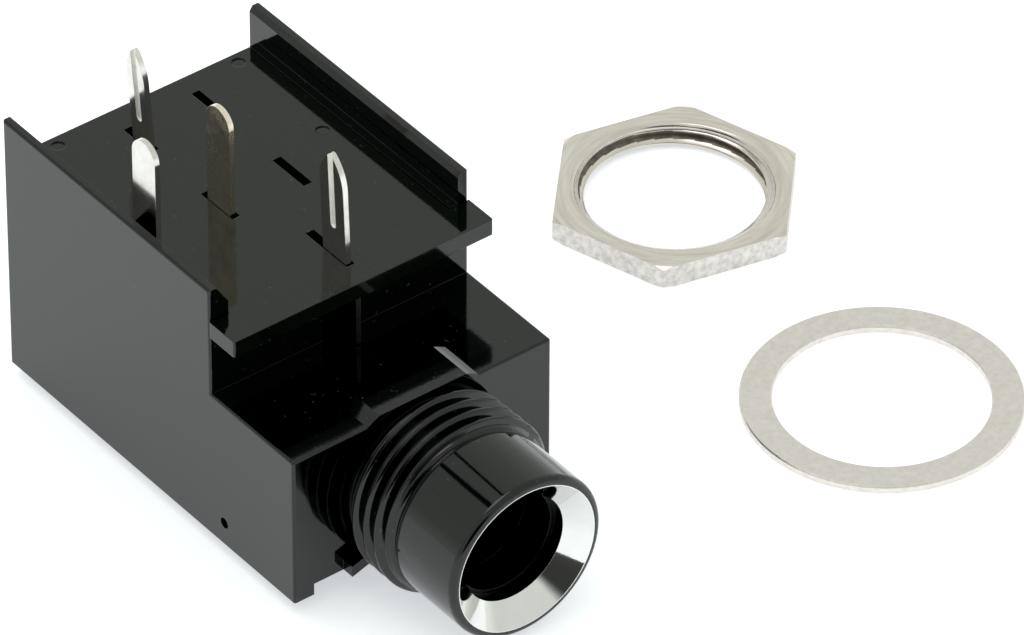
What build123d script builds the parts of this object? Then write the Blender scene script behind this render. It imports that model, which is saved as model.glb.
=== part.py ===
from build123d import *
import os
from math import cos, radians, sin, sqrt

# Quarter-inch (6.35 mm) stereo jack socket for a circuit board and a front panel.
# Millimetres. +X runs along the plug's axis out of the nose, +Z is the side of the solder pins.
# The origin lies on the plug's axis, where the barrel leaves the front face of the housing.

# Housing, measured from its feet and from its rear face
housing_width = 18.5
tall_length = 20.0
axis_height = 5.2
step_height = 10.5
plate_seat_height = 14.7
standoff_height = 18.0
standoff_thickness = 1.35
standoff_flat = 0.53
standoff_bevel_height = 1.27
end_wall = 1.3
plate_ledge = 0.6
floor_height = 1.7
foot_rail_width = 1.4
foot_rail_height = 0.9
edge_round = 0.18
chamber_corner = 0.6

# Barrel and nose
barrel_length = 9.7
thread_crest_d = 11.95
thread_root_d = 10.45
thread_run_out = 4.65
thread_relief = 0.45
thread_end_groove = 0.35
thread_bevel = 0.3
nose_d = 10.75
nose_round = 0.42

# Hump over the thread's root, pad under it and the gate mark on the near side
hump_length = 3.1
hump_height = 0.45
hump_base = 7.9
hump_top = 6.2
root_pad_width = 11.5
root_pad_depth = 0.85
root_pad_height = 0.75
gate_mark_d = 0.7
gate_mark_depth = 0.5
gate_mark_setback = 6.7
gate_mark_height = 1.7

# Plug, the bore that guides it, and the room from the plug's tip to the rear face
plug_d = 6.35
plug_length = 31.75
plug_clearance = 0.125
rear_room = 5.75

# Chrome ring in the nose
ring_mouth_d = 9.74
ring_bore_d = 7.0
ring_cone_depth = 1.2
ring_body_d = 8.9
ring_length = 2.1
ring_flange = 0.55
ring_land = 0.05
press_clearance = 0.02

# Base plate with its slots and ejector marks
plate_thickness = 1.1
plate_rear_setback = 0.8
plate_overhang = 2.35
plate_corner = 0.12
plate_fit = 0.05
plate_notch_clearance = 0.1
slot_width = 0.56
slot_end_clearance = 0.4
slot_setback = 0.2
rear_slot_setback = 0.4
slot_shift = 0.08
spare_slot_length = 1.8
spare_slot_setback = 0.8
sleeve_slot_length = 3.9
sleeve_slot_clearance = 0.08
ejector_mark_d = 0.85
ejector_mark_depth = 0.08
ejector_mark_inset = 0.8
ejector_mark_side = 6.5
ejector_mark_pitch = 8.15

# Contact sheet, solder pins and where they stand
sheet = 0.35
pin_width = 2.2
rear_pin_width = 1.7
pin_length = 7.25
front_pin_length = 7.6
pin_point_height = 2.3
pin_point_round = 0.25
pin_groove_radius = 0.3
pin_groove_depth = 0.14
pin_groove_length = 5.2
rear_pin_lean = 4.0
front_pin_lean = 2.0
contact_shift = 0.15
contact_pitch = 2.57
rear_pin_past_tip = 1.3
middle_pin_reach = 6.2
front_pin_reach = 13.81

# Blades below the plate, and the posts that hold their lower ends
shoulder_step = 0.35
blade_drop = 12.1
spring_height = 2.4
bend_radius = 0.5
blade_clearance = 0.06
post_wall = 0.55
post_height = 1.9

# Springs: how far they stand off the plug, and where they press on it
spring_standoff = 0.7
tip_press_reach = 5.05
tip_press_gap = 2.45
tip_kick_share = 0.1
tip_run_share = 0.36
tip_drop_share = 0.74
tip_tail_slope = 0.9
tip_tail_gap = 0.25
tip_tail_length = 2.1
ear_width = 1.9
ear_height = 4.6
ring_press_reach = 11.05
ring_press_gap = 2.95
ring_press_slope = 1.5
ring_tail_length = 1.1
ring_tail_rise = 0.5
ring_shelf_drop = 2.3
switch_shelf_drop = 4.2
switch_tab_drop = 1.5

# Rolled sleeve bush with its leg and tongues
bush_length = 14.9
bush_setback = 4.4
bush_clearance = 0.1
bush_front_gap = 0.15
seam_gap = 0.3
leg_heel = 0.89
leg_clearance = 0.1
tongue_root_setback = 8.05
tongue_length = 5.0
tongue_width = 1.8
tongue_press_reach = 3.6
tongue_press_gap = 3.09
tongue_slit = 0.35

# Hex nut and flat washer, taken off and lying beside the socket
nut_across_flats = 14.0
nut_height = 1.5
nut_bore_d = 10.92
nut_mouth_d = 12.3
nut_mouth_depth = 0.4
nut_corner_d = 15.5
nut_corner_bevel = 0.3
nut_place = (-16.45, 31.5)
nut_turn = 17.0
washer_outer_d = 16.8
washer_bore_d = 12.9
washer_thickness = 0.5
washer_edge = 0.08
washer_place = (5.55, 29.55)

# Levels and stations that follow from the sizes above
half_width = housing_width / 2
foot_z = -axis_height
step_z = foot_z + step_height
seat_z = foot_z + plate_seat_height
board_z = foot_z + standoff_height
rail_z = foot_z + foot_rail_height
floor_z = foot_z + floor_height
plate_top_z = seat_z + plate_thickness
plug_tip_x = barrel_length - plug_length
rear_x = plug_tip_x - rear_room
housing_length = -rear_x
tall_front_x = rear_x + tall_length
chamber_rear_x = rear_x + end_wall
chamber_front_x = tall_front_x - end_wall
channel_half = half_width - standoff_thickness
chamber_half = channel_half - plate_ledge
surface_z = -thread_crest_d / 2
bore_r = plug_d / 2 + plug_clearance
bush_front_x = barrel_length - bush_setback
bush_rear_x = bush_front_x - bush_length
bush_outer_r = bore_r + sheet
rear_pin_x = plug_tip_x - rear_pin_past_tip
middle_pin_x = plug_tip_x + middle_pin_reach
front_pin_x = plug_tip_x + front_pin_reach
leg_front_x = front_pin_x + pin_width / 2 + leg_heel
near_row_y = contact_shift - contact_pitch
far_row_y = contact_shift + contact_pitch
wall_pin_y = sheet / 2 + blade_clearance - channel_half
rear_shoulder = rear_pin_width + 2 * shoulder_step
middle_shoulder = pin_width + 2 * shoulder_step
blade_foot_z = seat_z - blade_drop
spring_line = plug_d / 2 + spring_standoff + sheet / 2
ring_shelf_z = seat_z - ring_shelf_drop
switch_shelf_z = seat_z - switch_shelf_drop
tip_press_x = plug_tip_x + tip_press_reach
ring_press_x = plug_tip_x + ring_press_reach


def pin_plane(x, y, lean=0.0):
    """Plane of a solder pin's flat at the plate's top, facing -Y, leaning towards -Y by some degrees."""
    rise = Vector(0, -sin(radians(lean)), cos(radians(lean)))
    return Plane(origin=(x, y, plate_top_z), x_dir=(1, 0, 0), z_dir=Vector(1, 0, 0).cross(rise))


def add_pin(x, y, width, length, point_height, lean=0.0):
    """Adds a solder pin whose tip is an arch: a half circle, or a taller and pointed one."""
    with BuildSketch(pin_plane(x, y, lean)) as outline:
        with BuildLine():
            side_top = length - point_height
            near_arc = TangentArc((width / 2, side_top), (0, length), tangent=(0, 1))
            far_arc = TangentArc((-width / 2, side_top), (0, length), tangent=(0, 1))
            Polyline(
                near_arc @ 0,
                (width / 2, -plate_thickness / 2),
                (-width / 2, -plate_thickness / 2),
                far_arc @ 0,
            )
        make_face()
        if point_height > width / 2:
            fillet(outline.vertices().sort_by(Axis.Y)[-1], pin_point_round)
    extrude(outline.sketch, amount=sheet / 2, both=True)


def cut_pin_groove(x, y, length, lean=0.0):
    """Cuts the coined groove down the near flat of a pointed pin, open at its tip and round below."""
    groove_plane = pin_plane(x, y, lean).offset(sheet / 2 + pin_groove_radius - pin_groove_depth)
    foot = length - pin_groove_length
    with Locations(groove_plane * Pos(0, foot + pin_groove_length / 2, 0)):
        Cylinder(pin_groove_radius, pin_groove_length, rotation=(90, 0, 0), mode=Mode.SUBTRACT)
    with Locations(groove_plane * Pos(0, foot, 0)):
        Sphere(pin_groove_radius, mode=Mode.SUBTRACT)


def add_blade(x, y, width, low_z, high_z):
    """Adds an upright stretch of sheet that faces -Y."""
    with BuildSketch(Plane.XZ.offset(-y)) as outline:
        with Locations((x, (low_z + high_z) / 2)):
            Rectangle(width, high_z - low_z)
    extrude(outline.sketch, amount=sheet / 2, both=True)


def add_strip(points, plane, width):
    """Adds a bent strip with its centre line on the plane and its width centred on it."""
    with BuildSketch(plane) as outline:
        with BuildLine() as path:
            FilletPolyline(*points, radius=bend_radius)
        trace(path.line, line_width=sheet)
    extrude(outline.sketch, amount=width / 2, both=True)


def cut_bore(radius, start_x, end_x):
    """Cuts a round hole along the plug's axis between two stations."""
    with BuildSketch(Plane.YZ.offset(start_x)) as outline:
        Circle(radius)
    extrude(outline.sketch, amount=end_x - start_x, mode=Mode.SUBTRACT)


# Housing: the L-shaped block first
with BuildPart() as housing:
    with BuildSketch(Plane.XZ):
        with BuildLine():
            Polyline(
                (rear_x, foot_z),
                (0, foot_z),
                (0, step_z),
                (tall_front_x, step_z),
                (tall_front_x, board_z),
                (rear_x, board_z),
                close=True,
            )
        make_face()
    extrude(amount=half_width, both=True)

    # Its outer edges are slightly round, as moulded
    side_edges = housing.faces().filter_by(Axis.Y).edges()
    front_edges = housing.faces().sort_by(Axis.X)[-1].edges().filter_by(Axis.Y)
    fillet(side_edges + front_edges, edge_round)

    # Channel between the standoff walls, with a bevel along the top of each wall
    with BuildSketch(Plane.YZ.offset(rear_x)):
        with BuildLine():
            bevel_z = board_z - standoff_bevel_height
            mouth_half = half_width - standoff_flat
            Polyline(
                (-channel_half, seat_z),
                (channel_half, seat_z),
                (channel_half, bevel_z),
                (mouth_half, board_z),
                (-mouth_half, board_z),
                (-channel_half, bevel_z),
                close=True,
            )
        make_face()
    extrude(amount=tall_length, mode=Mode.SUBTRACT)

    # Space between the foot rails
    with BuildSketch(Plane.XY.offset(foot_z)):
        with Locations((rear_x / 2, 0)):
            Rectangle(housing_length, housing_width - 2 * foot_rail_width)
    extrude(amount=foot_rail_height, mode=Mode.SUBTRACT)

    # Hump over the thread's root, and the pad under it
    with BuildSketch(Plane.YZ.offset(-hump_length)):
        with BuildLine():
            Polyline(
                (-hump_base / 2, step_z - hump_height),
                (-hump_base / 2, step_z),
                (-hump_top / 2, step_z + hump_height),
                (hump_top / 2, step_z + hump_height),
                (hump_base / 2, step_z),
                (hump_base / 2, step_z - hump_height),
                close=True,
            )
        make_face()
    extrude(amount=hump_length)
    with BuildSketch(Plane.XY.offset(rail_z)):
        with Locations((root_pad_depth / 2, 0)):
            Rectangle(root_pad_depth, root_pad_width)
    extrude(amount=root_pad_height)

    # Barrel and nose, turned about the plug's axis; the thread is left as its plain crest
    with BuildSketch(Plane.XZ):
        with BuildLine():
            crest_r = thread_crest_d / 2
            root_r = thread_root_d / 2
            nose_r = nose_d / 2
            rim_turn = nose_round * (1 - cos(radians(45)))
            rim = ThreePointArc(
                (barrel_length - nose_round, nose_r),
                (barrel_length - rim_turn, nose_r - rim_turn),
                (barrel_length, nose_r - nose_round),
            )
            Polyline(
                rim @ 1,
                (barrel_length, 0),
                (0, 0),
                (0, root_r),
                (thread_relief, root_r),
                (thread_relief + thread_bevel, crest_r),
                (thread_run_out - thread_end_groove - thread_bevel, crest_r),
                (thread_run_out - thread_end_groove, root_r),
                (thread_run_out, root_r),
                (thread_run_out, nose_r),
                rim @ 0,
            )
        make_face()
    revolve(axis=Axis.X)

    # Seat of the chrome ring, the plug's bore, and the pocket that the sleeve bush slides into
    cut_bore(ring_mouth_d / 2 + press_clearance, barrel_length, barrel_length - ring_flange - press_clearance)
    cut_bore(ring_body_d / 2 + press_clearance, barrel_length, barrel_length - ring_length - press_clearance)
    cut_bore(bore_r, barrel_length, chamber_front_x)
    cut_bore(bush_outer_r + bush_clearance, bush_front_x + bush_front_gap, bush_rear_x - bush_clearance)

    # Contact chamber, open towards the pins and closed by the base plate
    with BuildSketch(Plane.XY.offset(floor_z)):
        with Locations(((chamber_rear_x + chamber_front_x) / 2, 0)):
            RectangleRounded(chamber_front_x - chamber_rear_x, 2 * chamber_half, chamber_corner)
    extrude(amount=seat_z - floor_z, mode=Mode.SUBTRACT)

    # Posts on the chamber's floor, slotted for the lower ends of the two spring blades
    with BuildSketch(Plane.XY.offset(floor_z)):
        for post_x, post_y, shoulder in (
            (rear_pin_x, near_row_y, rear_shoulder),
            (middle_pin_x, spring_line, middle_shoulder),
        ):
            slot_long = shoulder + 2 * blade_clearance
            slot_wide = sheet + 2 * blade_clearance
            with Locations((post_x, post_y)):
                Rectangle(slot_long + 2 * post_wall, slot_wide + 2 * post_wall)
                Rectangle(slot_long, slot_wide, mode=Mode.SUBTRACT)
    extrude(amount=post_height)

    # Slot that lets the sleeve contact's leg slide forward through the front wall and the step
    with BuildSketch(Plane.XY):
        leg_slot_front_x = leg_front_x + leg_clearance
        with Locations(((chamber_front_x + leg_slot_front_x) / 2, contact_shift)):
            Rectangle(leg_slot_front_x - chamber_front_x, sheet + 2 * leg_clearance)
    extrude(amount=seat_z, mode=Mode.SUBTRACT)

    # Groove down the near ledge for the switch contact's blade
    groove_foot_z = switch_shelf_z - sheet / 2 - blade_clearance
    with BuildSketch(Plane.XY.offset(groove_foot_z)):
        with Locations((middle_pin_x, -(channel_half + chamber_half) / 2)):
            Rectangle(middle_shoulder + 2 * blade_clearance, plate_ledge)
    extrude(amount=seat_z - groove_foot_z, mode=Mode.SUBTRACT)

    # Gate mark on the near side
    with BuildSketch(Plane.XZ.offset(half_width)):
        with Locations((-gate_mark_setback, foot_z + gate_mark_height)):
            Circle(gate_mark_d / 2)
    extrude(amount=-gate_mark_depth, mode=Mode.SUBTRACT)

housing.part.label = "housing"


# Base plate: between the standoff walls behind, full width where it overhangs the step
with BuildPart() as base_plate:
    plate_rear_x = rear_x + plate_rear_setback
    plate_front_x = tall_front_x + plate_overhang
    with BuildSketch(Plane.XY.offset(seat_z)):
        with Locations(((plate_rear_x + plate_front_x) / 2, 0)):
            Rectangle(plate_front_x - plate_rear_x, 2 * (channel_half - plate_fit))
        with Locations(((tall_front_x + plate_fit + plate_front_x) / 2, 0)):
            Rectangle(plate_front_x - tall_front_x - plate_fit, housing_width)
    extrude(amount=plate_thickness)
    front_corners = base_plate.edges().filter_by(Axis.Z).group_by(Axis.X)[-1]
    fillet(front_corners, plate_corner)

    # Slots for the solder pins, with the two spare ones of the far row
    rear_slot_x = rear_pin_x - rear_slot_setback
    middle_slot_x = middle_pin_x - slot_setback
    sleeve_slot_x = front_pin_x + pin_width / 2 + sleeve_slot_clearance - sleeve_slot_length / 2
    with BuildSketch(Plane.XY.offset(seat_z)):
        with Locations((rear_slot_x, near_row_y + slot_shift)):
            Rectangle(rear_pin_width + 2 * slot_end_clearance + slot_setback, slot_width)
        with Locations((middle_slot_x, near_row_y + slot_shift), (middle_slot_x, far_row_y + slot_shift)):
            Rectangle(pin_width + 2 * slot_end_clearance, slot_width)
        with Locations((rear_slot_x - spare_slot_setback, far_row_y + slot_shift)):
            Rectangle(spare_slot_length, slot_width)
        with Locations((sleeve_slot_x, contact_shift + slot_shift)):
            Rectangle(sleeve_slot_length, slot_width)

        # Notch in the near edge for the switch contact's pin
        notch_depth = sheet + blade_clearance + plate_notch_clearance
        with Locations((middle_pin_x, notch_depth / 2 - channel_half)):
            Rectangle(pin_width + 2 * plate_notch_clearance, notch_depth)
    extrude(amount=plate_thickness, mode=Mode.SUBTRACT)

    # Shallow ejector marks on the side of the pins
    mark_rear_x = plate_rear_x + ejector_mark_inset
    mark_front_x = mark_rear_x + ejector_mark_pitch
    with BuildSketch(Plane.XY.offset(plate_top_z)):
        with Locations(
            (mark_rear_x, -ejector_mark_side),
            (mark_rear_x, ejector_mark_side),
            (mark_front_x, ejector_mark_side),
            (mark_front_x, -ejector_mark_side),
        ):
            Circle(ejector_mark_d / 2)
    extrude(amount=-ejector_mark_depth, mode=Mode.SUBTRACT)

base_plate.part.label = "base_plate"


# Chrome ring: a turned cone with a short bore, pressed into the nose
with BuildPart() as nose_ring:
    with BuildSketch(Plane.XZ):
        with BuildLine():
            Polyline(
                (barrel_length, ring_mouth_d / 2),
                (barrel_length, ring_mouth_d / 2 - ring_land),
                (barrel_length - ring_cone_depth, ring_bore_d / 2),
                (barrel_length - ring_length, ring_bore_d / 2),
                (barrel_length - ring_length, ring_body_d / 2),
                (barrel_length - ring_flange, ring_body_d / 2),
                (barrel_length - ring_flange, ring_mouth_d / 2),
                close=True,
            )
        make_face()
    revolve(axis=Axis.X)

nose_ring.part.label = "nose_ring"


# Tip contact: rear pin, a blade behind the end of the plug, and a spring that runs forward beside it
with BuildPart() as tip_contact:
    add_pin(rear_pin_x, near_row_y, rear_pin_width, pin_length, pin_point_height, rear_pin_lean)
    cut_pin_groove(rear_pin_x, near_row_y, pin_length, rear_pin_lean)
    add_blade(rear_pin_x, near_row_y, rear_pin_width, seat_z, plate_top_z)
    add_blade(rear_pin_x, near_row_y, rear_shoulder, blade_foot_z, seat_z)
    tip_press_y = -(tip_press_gap + sheet / 2)
    tip_tail_y = -(plug_d / 2 + tip_tail_gap + sheet / 2)
    tip_tail_x = tip_press_x + tip_tail_slope
    blade_front_x = rear_pin_x + rear_shoulder / 2
    tip_span = tip_press_x - blade_front_x
    add_strip(
        [
            (rear_pin_x, near_row_y),
            (blade_front_x + tip_kick_share * tip_span, near_row_y),
            (blade_front_x + tip_run_share * tip_span, -spring_line),
            (blade_front_x + tip_drop_share * tip_span, -spring_line),
            (tip_press_x, tip_press_y),
            (tip_tail_x, tip_tail_y),
            (tip_tail_x + tip_tail_length, tip_tail_y),
        ],
        Plane.XY,
        spring_height,
    )
    # Ear that rests on the switch contact while no plug is in
    add_blade(tip_tail_x + tip_tail_length - ear_width / 2, tip_tail_y, ear_width, 0, ear_height)

tip_contact.part.label = "tip_contact"


# Switch contact: a blade against the near wall, a shelf, and a tab on the tip spring's ear
with BuildPart() as tip_switch_contact:
    add_pin(middle_pin_x, wall_pin_y, pin_width, pin_length, pin_width / 2)
    switch_tab_y = tip_tail_y + sheet
    add_strip(
        [
            (wall_pin_y, plate_top_z),
            (wall_pin_y, switch_shelf_z),
            (switch_tab_y, switch_shelf_z),
            (switch_tab_y, switch_shelf_z - switch_tab_drop),
        ],
        Plane.YZ.offset(middle_pin_x),
        pin_width,
    )

tip_switch_contact.part.label = "tip_switch_contact"


# Ring contact: middle pin, a shelf over the plug, a blade down the far side, and its spring
with BuildPart() as ring_contact:
    add_pin(middle_pin_x, near_row_y, pin_width, pin_length, pin_width / 2)
    add_strip(
        [
            (near_row_y, plate_top_z),
            (near_row_y, ring_shelf_z),
            (spring_line, ring_shelf_z),
            (spring_line, blade_foot_z),
        ],
        Plane.YZ.offset(middle_pin_x),
        pin_width,
    )
    add_blade(middle_pin_x, near_row_y, middle_shoulder, ring_shelf_z + bend_radius, seat_z)
    add_blade(middle_pin_x, spring_line, middle_shoulder, blade_foot_z, ring_shelf_z - bend_radius)
    ring_press_y = ring_press_gap + sheet / 2
    ring_tail_x = ring_press_x + ring_tail_length
    add_strip(
        [
            (middle_pin_x, spring_line),
            (ring_press_x - ring_press_slope, spring_line),
            (ring_press_x, ring_press_y),
            (ring_tail_x, ring_press_y + ring_tail_rise),
        ],
        Plane.XY,
        spring_height,
    )

ring_contact.part.label = "ring_contact"


# Sleeve contact: a rolled bush round the plug, its upturned edge as the leg, and the front pin
with BuildPart() as sleeve_contact:
    with BuildSketch(Plane.YZ.offset(bush_rear_x)):
        Circle(bush_outer_r)
        Circle(bore_r, mode=Mode.SUBTRACT)
        with Locations((contact_shift + (sheet + seam_gap) / 2, bush_outer_r)):
            Rectangle(seam_gap, 3 * sheet, mode=Mode.SUBTRACT)
    extrude(amount=bush_length)

    # Windows round the two tongues
    tongue_root_x = bush_front_x - tongue_root_setback
    window_length = tongue_length + tongue_slit
    with BuildSketch(Plane.XZ):
        with Locations((tongue_root_x - window_length / 2, 0)):
            Rectangle(window_length, tongue_width + 2 * tongue_slit)
    extrude(amount=2 * bush_outer_r, both=True, mode=Mode.SUBTRACT)

    # Tongues that grip the plug, open towards the rear
    wall_line = sqrt(bush_outer_r**2 - (tongue_width / 2) ** 2) - sheet / 2
    tongue_press_y = tongue_press_gap + sheet / 2
    for side in (-1, 1):
        add_strip(
            [
                (tongue_root_x + tongue_slit, side * wall_line),
                (tongue_root_x - tongue_slit, side * wall_line),
                (tongue_root_x - tongue_press_reach, side * tongue_press_y),
                (tongue_root_x - tongue_length, side * wall_line),
            ],
            Plane.XY,
            tongue_width,
        )

    # Leg through the front wall's slot, with its shoulder under the plate, and the pin
    leg_length = leg_front_x - bush_rear_x
    add_blade(bush_rear_x + leg_length / 2, contact_shift, leg_length, bore_r + sheet / 2, seat_z)
    add_blade(front_pin_x, contact_shift, pin_width, seat_z, plate_top_z)
    add_pin(front_pin_x, contact_shift, pin_width, front_pin_length, pin_point_height, front_pin_lean)
    cut_pin_groove(front_pin_x, contact_shift, front_pin_length, front_pin_lean)

sleeve_contact.part.label = "sleeve_contact"


# Hex nut, lying flat on the surface that the barrel rests on
with BuildPart() as hex_nut:
    nut_plane = Plane(
        origin=(*nut_place, surface_z), x_dir=(cos(radians(nut_turn)), sin(radians(nut_turn)), 0)
    )
    with BuildSketch(nut_plane):
        RegularPolygon(nut_across_flats / 2, 6, major_radius=False)
        Circle(nut_bore_d / 2, mode=Mode.SUBTRACT)
    extrude(amount=nut_height)

    # Bevelled corners and a countersunk mouth on both sides, turned about the nut's axis
    nut_axis = Axis((*nut_place, surface_z), (0, 0, 1))
    section = Plane(origin=(*nut_place, surface_z), x_dir=(1, 0, 0), z_dir=(0, -1, 0))
    with BuildSketch(section):
        with BuildLine():
            corner_r = nut_across_flats / 2 / cos(radians(30)) + nut_corner_bevel
            Polyline(
                (nut_bore_d / 2, nut_mouth_depth),
                (nut_mouth_d / 2, 0),
                (nut_corner_d / 2, 0),
                (corner_r, nut_corner_bevel),
                (corner_r, nut_height - nut_corner_bevel),
                (nut_corner_d / 2, nut_height),
                (nut_mouth_d / 2, nut_height),
                (nut_bore_d / 2, nut_height - nut_mouth_depth),
                close=True,
            )
        make_face()
    revolve(axis=nut_axis, mode=Mode.INTERSECT)

hex_nut.part.label = "hex_nut"


# Flat washer, lying on the same surface
with BuildPart() as flat_washer:
    with BuildSketch(Plane.XY.offset(surface_z)):
        with Locations(washer_place):
            Circle(washer_outer_d / 2)
            Circle(washer_bore_d / 2, mode=Mode.SUBTRACT)
    extrude(amount=washer_thickness)
    chamfer(flat_washer.edges().filter_by(GeomType.CIRCLE), washer_edge)

flat_washer.part.label = "flat_washer"


os.makedirs("parts", exist_ok=True)
for piece in (
    housing,
    base_plate,
    nose_ring,
    sleeve_contact,
    tip_contact,
    ring_contact,
    tip_switch_contact,
    hex_nut,
    flat_washer,
):
    export_step(piece.part, f"parts/{piece.part.label}.step")
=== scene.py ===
import math

import bmesh
import bpy
import numpy as np
from mathutils import Matrix, Vector


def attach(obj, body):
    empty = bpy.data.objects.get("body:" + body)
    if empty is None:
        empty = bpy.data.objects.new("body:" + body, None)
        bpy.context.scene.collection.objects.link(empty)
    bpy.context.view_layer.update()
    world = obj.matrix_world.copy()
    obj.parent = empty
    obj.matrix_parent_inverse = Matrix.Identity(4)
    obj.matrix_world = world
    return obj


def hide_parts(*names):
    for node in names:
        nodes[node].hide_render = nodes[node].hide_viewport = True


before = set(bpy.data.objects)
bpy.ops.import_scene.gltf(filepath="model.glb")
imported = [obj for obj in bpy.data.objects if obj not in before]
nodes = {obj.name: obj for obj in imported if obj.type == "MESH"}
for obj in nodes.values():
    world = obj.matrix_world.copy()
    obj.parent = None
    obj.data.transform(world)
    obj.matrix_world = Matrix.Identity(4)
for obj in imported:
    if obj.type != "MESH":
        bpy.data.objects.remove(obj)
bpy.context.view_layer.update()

MM = 0.001

# The barrel's thread, in millimetres. The relief is the plain neck at each end of the thread.
PITCH = 1.0
CREST_R = 5.975
THREAD_ROOT_R = 5.375
RELIEF_R = 5.225
RELIEF_X = 0.45
GROOVE_X = 4.30
RUN_OUT = 0.30
SUNK_UNDER_THREAD = 0.25
BARREL_START = 0.3
BARREL_ROWS = 92
TURN_STEPS = 192

# The thread's profile, in shares of the pitch. The last one is the share of the flank that is rounded.
CREST_HALF = 0.06
ROOT_START = 0.45
ROUNDED_SHARE = 0.45

# The nut, in millimetres
SURFACE_Z = -5.975
NUT_PLACE = (-16.45, 31.5)
NUT_MINOR_R = 5.46
NUT_MAJOR_R = 6.02
NUT_MOUTH_R = 6.35
NUT_MOUTH_DEPTH = 0.45
NUT_LOWER_MOUTH_DEPTH = 0.20
NUT_HEIGHT = 1.5
NUT_START = -0.035
NUT_ROWS = 46
# How deep in the thread the painted shade of the nut's grooves begins
GROOVE_DEPTH = 0.22

# Tolerances for finding faces and points, in millimetres, and how far hidden ones keep behind the thread
NEAR = 0.1
ON_CREST = 0.05
ON_CHAMFER = 0.03
BEHIND_THREAD = 0.02

# The far standoff wall and the base plate, in millimetres
WALL_INNER_Y = 8.5
WALL_FOOT_Z = 10.62
WALL_TOP_Z = 12.8
WALL_REAR_X = -27.8
WALL_FRONT_X = -7.8
PLATE_REAR_X = -27.03
PLATE_SEAT_Z = 9.5
CUT_WIDTH = 2.5
CUT_PAST_END = 1.0
CUT_PAST_FRONT = 0.5
MERGE_METRES = 0.0000005
SHARP_ANGLE = math.radians(13)

# Looks. The ring's bore, which gets a painted shade, is in millimetres, the edge radius in metres, and the
# noises run over the usual span.
RING_BORE_R = 3.55
DUST = (0.035, 0.035, 0.032)
METAL_EDGE = 0.00003
BEVEL_SAMPLES = 6
AROUND_SHARE = 0.10
NOISE_LOW = 0.3
NOISE_HIGH = 0.7

# The floor: half its side in metres, and the gap under the part in millimetres
FLOOR_HALF = 1.2
FLOOR_GAP = 0.004

# The studio's light. The dim side fades in between two cosines of the angle to its direction.
STUDIO_LIGHT = 0.82
DIM_LIGHT = 0.05
DIM_SIDE = (0.85, -0.46, 0.24)
DIM_START = 0.885
DIM_END = 0.97
HORIZON_LIGHT = 1.30
HORIZON_TOP = 0.25

# The gaps between the screens: middle and half width in degrees of roll round the plug's axis, and the
# stretch of the axis on which they show
GAPS = ((14.7, 2.3), (-6.3, 1.2))
GAP_BLUR = 1.5
GAP_LIGHT = 0.05
GAP_LEAN = 0.61
GAP_LEAN_START = 0.08
GAP_LEAN_END = 0.22
BLACK_LEVEL = 0.003

# The camera, fitted to the photograph: metres, and pixels on a frame 1024 pixels wide
CAMERA_EYE = (0.37291, -0.28367, 0.38888)
CAMERA_RIGHT = (0.61238, 0.79056, 0.00251)
CAMERA_UP = (-0.49719, 0.38266, 0.77870)
FOCAL_PIXELS = 10641.0
FRAME_PIXELS = 1024.0
SENSOR_MM = 36.0


# Shader nodes

def shader(name):
    """A new material with its tree and its Principled shader."""
    material = bpy.data.materials.new(name)
    material.use_nodes = True
    tree = material.node_tree
    return material, tree, tree.nodes["Principled BSDF"]


def add_node(tree, kind, **values):
    """A node with its inputs set by name."""
    node = tree.nodes.new(kind)
    for key, value in values.items():
        node.inputs[key].default_value = value
    return node


def compute(tree, operation, *values):
    """The result of a Math node over numbers and other nodes' outputs."""
    node = tree.nodes.new("ShaderNodeMath")
    node.operation = operation
    for socket, value in zip(node.inputs, values):
        if isinstance(value, (int, float)):
            socket.default_value = value
        else:
            tree.links.new(value, socket)
    return node.outputs["Value"]


def split(tree, vector):
    """The three parts of a vector output."""
    axes = tree.nodes.new("ShaderNodeSeparateXYZ")
    tree.links.new(vector, axes.inputs["Vector"])
    return axes.outputs["X"], axes.outputs["Y"], axes.outputs["Z"]


def round_axis(tree, place, centre):
    """Coordinates that change fast outwards from an upright axis and slowly round it, for turning marks."""
    from_centre = tree.nodes.new("ShaderNodeVectorMath")
    from_centre.operation = "SUBTRACT"
    from_centre.inputs[1].default_value = (centre[0] * MM, centre[1] * MM, 0)
    tree.links.new(place, from_centre.inputs[0])
    x, y, _ = split(tree, from_centre.outputs["Vector"])
    squares = compute(tree, "ADD", compute(tree, "MULTIPLY", x, x), compute(tree, "MULTIPLY", y, y))
    together = tree.nodes.new("ShaderNodeCombineXYZ")
    tree.links.new(compute(tree, "POWER", squares, 0.5), together.inputs["X"])
    tree.links.new(compute(tree, "MULTIPLY", x, AROUND_SHARE), together.inputs["Y"])
    tree.links.new(compute(tree, "MULTIPLY", y, AROUND_SHARE), together.inputs["Z"])
    return together.outputs["Vector"]


def noise(tree, scale, detail, roughness=0.55, centre=None):
    """The factor of a noise over the piece's own coordinates, scale in cycles a metre."""
    place = tree.nodes.new("ShaderNodeTexCoord").outputs["Object"]
    if centre:
        place = round_axis(tree, place, centre)
    texture = add_node(tree, "ShaderNodeTexNoise", Scale=scale, Detail=detail, Roughness=roughness)
    tree.links.new(place, texture.inputs["Vector"])
    return texture.outputs["Fac"]


def map_range(tree, factor, start, end, low, high, shape="LINEAR"):
    """A number that runs from low to high while the factor goes from start to end."""
    node = tree.nodes.new("ShaderNodeMapRange")
    node.interpolation_type = shape
    for key, number in (("From Min", start), ("From Max", end), ("To Min", low), ("To Max", high)):
        node.inputs[key].default_value = number
    tree.links.new(factor, node.inputs["Value"])
    return node.outputs["Result"]


def soft_step(tree, value, start, end, low, high):
    """A smooth change from low to high while the value goes from start to end."""
    return map_range(tree, value, start, end, low, high, "SMOOTHSTEP")


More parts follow.
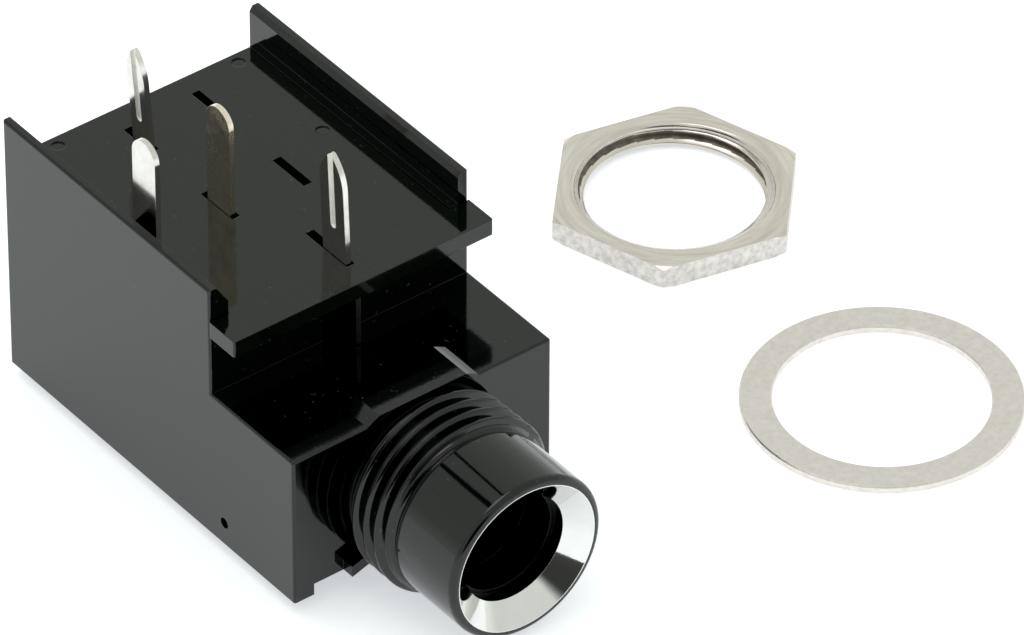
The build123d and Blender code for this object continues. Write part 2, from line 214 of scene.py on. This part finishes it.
def colours(tree, factor, low, high, start=NOISE_LOW, end=NOISE_HIGH):
    """A colour that runs from low to high while the factor goes from start to end."""
    node = tree.nodes.new("ShaderNodeValToRGB")
    for stop, place, colour in zip(node.color_ramp.elements, (start, end), (low, high)):
        stop.position = place
        stop.color = (*colour, 1)
    tree.links.new(factor, node.inputs["Fac"])
    return node.outputs["Color"]


def surface_relief(tree, principled, layers, edge):
    """Bumps from layers of height, distance and strength, on normals that the edge radius rounds."""
    rounded = add_node(tree, "ShaderNodeBevel", Radius=edge)
    rounded.samples = BEVEL_SAMPLES
    normal = rounded.outputs["Normal"]
    for height, distance, strength in layers:
        bump = add_node(tree, "ShaderNodeBump", Strength=strength, Distance=distance)
        tree.links.new(height, bump.inputs["Height"])
        tree.links.new(normal, bump.inputs["Normal"])
        normal = bump.outputs["Normal"]
    tree.links.new(normal, principled.inputs["Normal"])


# Materials

def moulded_plastic(name, tint, roughness, edge):
    """Glossy black plastic with the slow waves of a moulding, a fine grain and specks of dust."""
    material, tree, principled = shader(name)
    principled.inputs["IOR"].default_value = 1.5
    cloud = noise(tree, 260.0, 4.0)
    grain = noise(tree, 5200.0, 2.0)
    waves = noise(tree, 110.0, 1.0)
    specks = noise(tree, 2900.0, 1.0)
    tree.links.new(colours(tree, specks, tint, DUST, 0.70, 0.82), principled.inputs["Base Color"])
    gloss = map_range(tree, cloud, NOISE_LOW, NOISE_HIGH, 0.8 * roughness, 1.3 * roughness)
    tree.links.new(gloss, principled.inputs["Roughness"])
    surface_relief(tree, principled, ((waves, 0.00004, 0.25), (grain, 0.000004, 0.3)), edge)
    return material


def metal(name, colour, shade, roughness, scale, depth=0.000003, centre=None):
    """Plated metal with a cloudy finish and a fine grain, turned round a centre where one is given."""
    material, tree, principled = shader(name)
    principled.inputs["Metallic"].default_value = 1.0
    cloud = noise(tree, scale, 3.0, 0.6, centre)
    grain = noise(tree, 9000.0, 2.0, 0.5, centre)
    tree.links.new(colours(tree, cloud, shade, colour), principled.inputs["Base Color"])
    gloss = map_range(tree, cloud, NOISE_LOW, NOISE_HIGH, 1.35 * roughness, 0.75 * roughness)
    tree.links.new(gloss, principled.inputs["Roughness"])
    surface_relief(tree, principled, ((grain, depth, 0.25),), METAL_EDGE)
    return material


housing_plastic = moulded_plastic("housing_plastic", (0.0016, 0.0024, 0.0022), 0.07, 0.00004)
plate_plastic = moulded_plastic("plate_plastic", (0.0018, 0.0030, 0.0018), 0.06, 0.00006)
chrome = metal("ring_chrome", (0.78, 0.78, 0.765), (0.72, 0.72, 0.705), 0.06, 400.0)
# Painted shade: a dark copy of the chrome, put on the ring's bore where it lies in shade
painted_shade_chrome = metal("ring_bore", (0.10, 0.095, 0.085), (0.05, 0.05, 0.045), 0.30, 900.0)
bright_tin = metal("bright_tin", (0.80, 0.785, 0.75), (0.66, 0.64, 0.59), 0.13, 900.0)
# Partly painted highlight: the coined grooves' tin is rougher, as the pressed metal is, and its colour is
# brighter than the plain tin to paint on the groove's highlight
coined_tin_painted_highlight = metal("coined_tin_painted_highlight", (0.97, 0.96, 0.93), (0.90, 0.88, 0.84), 0.80, 1500.0)
# Painted shade: a dark copy of the tin for the sleeve pin's leg, which lies in shadow under the plate
painted_shade_tin = metal("painted_shade_tin", (0.13, 0.125, 0.115), (0.07, 0.065, 0.06), 0.35, 900.0)
warm_brass = metal("warm_brass", (0.95, 0.88, 0.74), (0.74, 0.65, 0.50), 0.24, 800.0)
nut_nickel = metal("nut_nickel", (0.805, 0.75, 0.69), (0.625, 0.57, 0.515), 0.20, 2600.0, centre=NUT_PLACE)
flat_nickel = metal("nut_flats", (0.78, 0.745, 0.71), (0.58, 0.55, 0.52), 0.42, 2600.0, depth=0.00001)
# Painted shade: a dark copy of the nickel for the hollows of the nut's thread, where shade falls
painted_shade_nickel = metal("nut_groove_painted_shade", (0.20, 0.18, 0.155), (0.12, 0.105, 0.09), 0.35, 1500.0)
washer_nickel = metal("washer_nickel", (0.82, 0.768, 0.73), (0.715, 0.672, 0.628), 0.34, 2500.0)


def dress(piece, material):
    """Puts one material on all of a piece."""
    piece.data.materials.clear()
    piece.data.materials.append(material)
    for polygon in piece.data.polygons:
        polygon.material_index = 0


def dress_faces(piece, material, chosen):
    """Puts another material on the faces chosen by their centre, in millimetres, and their normal."""
    piece.data.materials.append(material)
    slot = len(piece.data.materials) - 1
    for polygon in piece.data.polygons:
        if chosen(polygon.center / MM, polygon.normal):
            polygon.material_index = slot


# Meshes

def link(thing):
    """Puts an object into the scene."""
    bpy.context.scene.collection.objects.link(thing)
    return thing


def copy_of(node, name):
    """A piece with a copy of the node's mesh, for changes that the node itself never gets."""
    return link(bpy.data.objects.new(name, nodes[node].data.copy()))


def points_of(mesh):
    """A mesh's points, in millimetres."""
    co = np.zeros(len(mesh.vertices) * 3)
    mesh.vertices.foreach_get("co", co)
    return co.reshape(-1, 3) / MM


def set_points(mesh, co):
    """Moves a mesh's points to places in millimetres."""
    mesh.vertices.foreach_set("co", (co * MM).ravel())
    mesh.update()


def grid_mesh(name, points, flip=False):
    """A smooth closed band from rows of points, the first index along it and the second round it."""
    rows, around = points.shape[:2]
    index = np.arange(rows * around).reshape(rows, around)
    following = np.roll(index, -1, axis=1)
    quads = np.stack([index[:-1], index[1:], following[1:], following[:-1]], -1).reshape(-1, 4)
    if flip:
        quads = quads[:, ::-1]
    mesh = bpy.data.meshes.new(name)
    places = [tuple(point) for point in points.reshape(-1, 3) * MM]
    mesh.from_pydata(places, [], [tuple(int(i) for i in quad) for quad in quads])
    mesh.polygons.foreach_set("use_smooth", [True] * len(mesh.polygons))
    mesh.update()
    return mesh


def thread_height(phase):
    """Height of the thread's profile, 0 at the root and 1 at the crest, over one pitch."""
    offset = np.abs((phase + 0.5) % 1.0 - 0.5)
    flank = np.clip((offset - CREST_HALF) / (ROOT_START - CREST_HALF), 0.0, 1.0)
    rounded = flank * flank * (3 - 2 * flank)
    return 1.0 - rounded * ROUNDED_SHARE - flank * (1.0 - ROUNDED_SHARE)


def join(piece, mesh):
    """Adds another mesh to a piece."""
    extra = link(bpy.data.objects.new(mesh.name, mesh))
    for material in piece.data.materials:
        mesh.materials.append(material)
    bpy.ops.object.select_all(action="DESELECT")
    extra.select_set(True)
    piece.select_set(True)
    bpy.context.view_layer.objects.active = piece
    bpy.ops.object.join()


def apply_modifiers(piece):
    """Makes what the modifiers give into the piece's own mesh."""
    bpy.context.view_layer.update()
    result = bpy.data.meshes.new_from_object(piece.evaluated_get(bpy.context.evaluated_depsgraph_get()))
    piece.modifiers.clear()
    piece.data = result


def wall_cutter():
    """Two blocks that take the far wall's inner bevel away, above the base plate and behind it."""
    block = bmesh.new()
    for front_x, foot_z in ((WALL_FRONT_X + CUT_PAST_FRONT, WALL_FOOT_Z), (PLATE_REAR_X, PLATE_SEAT_Z)):
        low = Vector((WALL_REAR_X - CUT_PAST_END, WALL_INNER_Y - CUT_WIDTH, foot_z)) * MM
        high = Vector((front_x, WALL_INNER_Y, WALL_TOP_Z + CUT_PAST_END)) * MM
        for vertex in bmesh.ops.create_cube(block, size=1.0)["verts"]:
            vertex.co = (low + high) / 2 + vertex.co * (high - low)
    mesh = bpy.data.meshes.new("wall_cutter")
    block.to_mesh(mesh)
    block.free()
    return link(bpy.data.objects.new("wall_cutter", mesh))


def merge_points(mesh):
    """Joins the points that lie on each other, so that a cut finds one closed surface."""
    body = bmesh.new()
    body.from_mesh(mesh)
    bmesh.ops.remove_doubles(body, verts=body.verts, dist=MERGE_METRES)
    body.to_mesh(mesh)
    body.free()


def even_normals(piece):
    """Smooth shading that keeps flat faces flat and edges crisp."""
    if "custom_normal" in piece.data.attributes:
        piece.data.attributes.remove(piece.data.attributes["custom_normal"])
    piece.data.polygons.foreach_set("use_smooth", [True] * len(piece.data.polygons))
    piece.data.set_sharp_from_angle(angle=SHARP_ANGLE)
    even = piece.modifiers.new("even", "WEIGHTED_NORMAL")
    even.mode = "FACE_AREA"
    even.weight = 100
    even.keep_sharp = True
    apply_modifiers(piece)


def thin_far_wall(piece):
    """Cuts the far wall's inner side back to one upright face, as thin as the photograph shows it."""
    cutter = wall_cutter()
    merge_points(piece.data)
    cut = piece.modifiers.new("cut", "BOOLEAN")
    cut.operation = "DIFFERENCE"
    cut.solver = "EXACT"
    cut.use_self = True
    cut.object = cutter
    apply_modifiers(piece)
    bpy.data.objects.remove(cutter)
    even_normals(piece)


# Housing with its thread

angles = np.linspace(0, 2 * np.pi, TURN_STEPS, endpoint=False)


def sink_crest(mesh):
    """Draws the plain crest cylinder in, under the thread that takes its place."""
    co = points_of(mesh)
    radius = np.hypot(co[:, 1], co[:, 2])
    along = (co[:, 0] > RELIEF_X + NEAR) & (co[:, 0] < GROOVE_X - NEAR)
    on_crest = along & (np.abs(radius - CREST_R) < ON_CREST)
    co[on_crest, 1:] *= ((RELIEF_R - SUNK_UNDER_THREAD) / radius[on_crest])[:, None]
    set_points(mesh, co)


def barrel_thread():
    """The thread's surface, which rises from the relief at both ends."""
    x, a = np.meshgrid(np.linspace(RELIEF_X, GROOVE_X, BARREL_ROWS), angles, indexing="ij")
    height = THREAD_ROOT_R - RELIEF_R
    height = height + (CREST_R - THREAD_ROOT_R) * thread_height(x / PITCH - a / (2 * np.pi) + BARREL_START)
    start = np.clip((x - RELIEF_X) / RUN_OUT, 0, 1)
    finish = np.clip((GROOVE_X - x) / RUN_OUT, 0, 1)
    r = RELIEF_R + height * start * finish
    return grid_mesh("barrel_thread", np.stack([x, r * np.cos(a), r * np.sin(a)], -1), flip=True)


housing = copy_of("housing", "housing_threaded")
thin_far_wall(housing)
sink_crest(housing.data)
dress(housing, housing_plastic)
join(housing, barrel_thread())
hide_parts("housing")
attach(housing, "root")


# Nut with its thread

def widen_bore(mesh):
    """Moves the nut's plain bore out to its mouth, behind the thread that takes its place."""
    co = points_of(mesh)
    rel = co[:, :2] - np.array(NUT_PLACE)
    radius = np.hypot(rel[:, 0], rel[:, 1])
    on_bore = radius < NUT_MINOR_R + NEAR
    spread = (NUT_MOUTH_R + BEHIND_THREAD) / radius[on_bore]
    co[on_bore, :2] = np.array(NUT_PLACE) + rel[on_bore] * spread[:, None]
    set_points(mesh, co)


def nut_thread():
    """The thread's surface between the two chamfers of the nut's bore."""
    z, a = np.meshgrid(np.linspace(0, NUT_HEIGHT, NUT_ROWS), angles, indexing="ij")
    turns = z / PITCH - a / (2 * np.pi) + NUT_START
    profile = NUT_MAJOR_R - (NUT_MAJOR_R - NUT_MINOR_R) * thread_height(turns)
    share = np.minimum(z / NUT_LOWER_MOUTH_DEPTH, (NUT_HEIGHT - z) / NUT_MOUTH_DEPTH)
    r = np.maximum(profile, NUT_MOUTH_R - (NUT_MOUTH_R - NUT_MINOR_R) * share)
    x = NUT_PLACE[0] + r * np.cos(a)
    y = NUT_PLACE[1] + r * np.sin(a)
    return grid_mesh("nut_thread", np.stack([x, y, SURFACE_Z + z], -1))


def on_nut(at):
    """A point's distance from the nut's axis and its height over the nut's foot."""
    return math.hypot(at.x - NUT_PLACE[0], at.y - NUT_PLACE[1]), at.z - SURFACE_Z


def on_flat(at, normal):
    """Whether a face belongs to the nut's six flats."""
    return abs(normal.z) < 0.3 and on_nut(at)[0] > NUT_MOUTH_R + NEAR


def in_nut_groove(at, normal):
    """Whether a face lies deep in the nut's thread, past the chamfer of its mouth, where the nut gets a
    painted shade.
    """
    reach, level = on_nut(at)
    chamfer_end = NUT_MOUTH_R - (NUT_MOUTH_R - NUT_MINOR_R) * (NUT_HEIGHT - level) / NUT_MOUTH_DEPTH
    deep = NUT_MINOR_R + GROOVE_DEPTH < reach < NUT_MAJOR_R + ON_CHAMFER
    return deep and reach > chamfer_end + ON_CHAMFER


nut = copy_of("hex_nut", "hex_nut_threaded")
widen_bore(nut.data)
dress(nut, nut_nickel)
join(nut, nut_thread())
dress_faces(nut, flat_nickel, on_flat)
# The deep faces of the thread get the dark copy of the nickel as painted shade
dress_faces(nut, painted_shade_nickel, in_nut_groove)
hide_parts("hex_nut")
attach(nut, "root")


# The other pieces keep the CAD shape

def in_pin_groove(at, normal):
    """Whether a face lies in the groove that is pressed into a solder pin's near side, which gets a painted
    highlight.
    """
    return at.z > WALL_FOOT_Z and normal.y < -0.3 and (abs(normal.x) > 0.03 or normal.z > 0.02)


def in_ring_bore(at, normal):
    """Whether a face lies in the chrome ring's straight bore, which gets a painted shade."""
    return math.hypot(at.y, at.z) < RING_BORE_R


def under_plate(at, normal):
    """Whether a face lies below the base plate, where the sleeve pin's leg gets a painted shade."""
    return at.z < PLATE_SEAT_Z


dress(nodes["base_plate"], plate_plastic)
dress(nodes["nose_ring"], chrome)
# The ring's bore gets the dark copy of the chrome as painted shade
dress_faces(nodes["nose_ring"], painted_shade_chrome, in_ring_bore)
dress(nodes["sleeve_contact"], bright_tin)
# The leg below the plate gets the dark copy of the tin as painted shade
dress_faces(nodes["sleeve_contact"], painted_shade_tin, under_plate)
dress(nodes["tip_contact"], bright_tin)
# The pins' grooves get the rougher tin whose brighter colour is a painted highlight
for pin in ("sleeve_contact", "tip_contact"):
    dress_faces(nodes[pin], coined_tin_painted_highlight, in_pin_groove)
dress(nodes["tip_switch_contact"], bright_tin)
dress(nodes["ring_contact"], warm_brass)
dress(nodes["flat_washer"], washer_nickel)


# Floor

def white_floor_material():
    """A white that glows a little, so that the black plastic has a pale floor to mirror."""
    material = bpy.data.materials.new("floor_white")
    material.use_nodes = True
    tree = material.node_tree
    tree.nodes.clear()
    output = tree.nodes.new("ShaderNodeOutputMaterial")
    glow = add_node(tree, "ShaderNodeEmission", Color=(0.97, 1.0, 1.03, 1), Strength=0.55)
    diffuse = add_node(tree, "ShaderNodeBsdfDiffuse", Color=(0.81, 0.82, 0.84, 1))
    both = tree.nodes.new("ShaderNodeAddShader")
    tree.links.new(glow.outputs["Emission"], both.inputs[0])
    tree.links.new(diffuse.outputs["BSDF"], both.inputs[1])
    tree.links.new(both.outputs["Shader"], output.inputs["Surface"])
    return material


corners = [(x * FLOOR_HALF, y * FLOOR_HALF, 0) for x, y in ((-1, -1), (1, -1), (1, 1), (-1, 1))]
floor_mesh = bpy.data.meshes.new("floor")
floor_mesh.from_pydata(corners, [], [(0, 1, 2, 3)])
floor_mesh.materials.append(white_floor_material())
floor = link(bpy.data.objects.new("floor", floor_mesh))
floor.location = (0, 0, (SURFACE_Z - FLOOR_GAP) * MM)


# Light

def studio():
    """A pale studio with a dim side and two narrow gaps between its overhead screens."""
    world = bpy.data.worlds.new("studio")
    bpy.context.scene.world = world
    world.use_nodes = True
    tree = world.node_tree
    background = tree.nodes["Background"]
    direction = tree.nodes.new("ShaderNodeTexCoord").outputs["Generated"]
    x, y, z = split(tree, direction)

    # The dim side, behind the camera's right
    towards = tree.nodes.new("ShaderNodeVectorMath")
    towards.operation = "DOT_PRODUCT"
    towards.inputs[1].default_value = Vector(DIM_SIDE).normalized()
    tree.links.new(direction, towards.inputs[0])
    light = soft_step(tree, towards.outputs["Value"], DIM_START, DIM_END, STUDIO_LIGHT, DIM_LIGHT)

    # The low part of the walls is brighter than the rest
    horizon = soft_step(tree, z, 0.0, HORIZON_TOP, HORIZON_LIGHT, 1.0)
    light = compute(tree, "MULTIPLY", light, horizon)

    # The gaps run along the plug's axis
    roll = compute(tree, "ARCTAN2", compute(tree, "MULTIPLY", y, -1.0), z)
    lean = compute(tree, "ABSOLUTE", compute(tree, "ADD", x, GAP_LEAN))
    beside = soft_step(tree, lean, GAP_LEAN_START, GAP_LEAN_END, 0.0, 1.0)
    for middle, half_gap in GAPS:
        off = compute(tree, "ABSOLUTE", compute(tree, "SUBTRACT", roll, math.radians(middle)))
        edge = math.radians(half_gap)
        gap = soft_step(tree, off, edge, edge + math.radians(GAP_BLUR), GAP_LIGHT, 1.0)
        light = compute(tree, "MULTIPLY", light, compute(tree, "MAXIMUM", gap, beside))
    tree.links.new(light, background.inputs["Strength"])
    background.inputs["Color"].default_value = (0.96, 1.0, 0.95, 1)


def softbox(name, place, target, size, power):
    """A square soft light that faces its target."""
    light = bpy.data.lights.new(name, "AREA")
    light.shape = "RECTANGLE"
    light.size = size
    light.size_y = size
    light.energy = power
    lamp = link(bpy.data.objects.new(name, light))
    lamp.location = place
    lamp.rotation_euler = (Vector(target) - Vector(place)).to_track_quat("-Z", "Y").to_euler()


studio()
softbox("key_softbox", (-0.15, -0.10, 0.60), (-0.01, 0.005, 0), 0.35, 0.6)


# Camera at the photograph's viewpoint

camera_data = bpy.data.cameras.new("camera")
camera_data.sensor_width = SENSOR_MM
camera_data.sensor_fit = "HORIZONTAL"
camera_data.lens = SENSOR_MM * FOCAL_PIXELS / FRAME_PIXELS
camera_data.clip_start = 0.01
camera_data.clip_end = 10.0
camera = link(bpy.data.objects.new("camera", camera_data))
right = Vector(CAMERA_RIGHT)
up = Vector(CAMERA_UP)
columns = (right, up, right.cross(up), Vector(CAMERA_EYE))
camera.matrix_world = Matrix([[column[axis] for column in columns] for axis in range(3)] + [[0, 0, 0, 1]])
bpy.context.scene.camera = camera

view = bpy.context.scene.view_settings
view.view_transform = "Standard"
view.use_curve_mapping = True
view.curve_mapping.black_level = (BLACK_LEVEL, BLACK_LEVEL, BLACK_LEVEL)
view.curve_mapping.update()
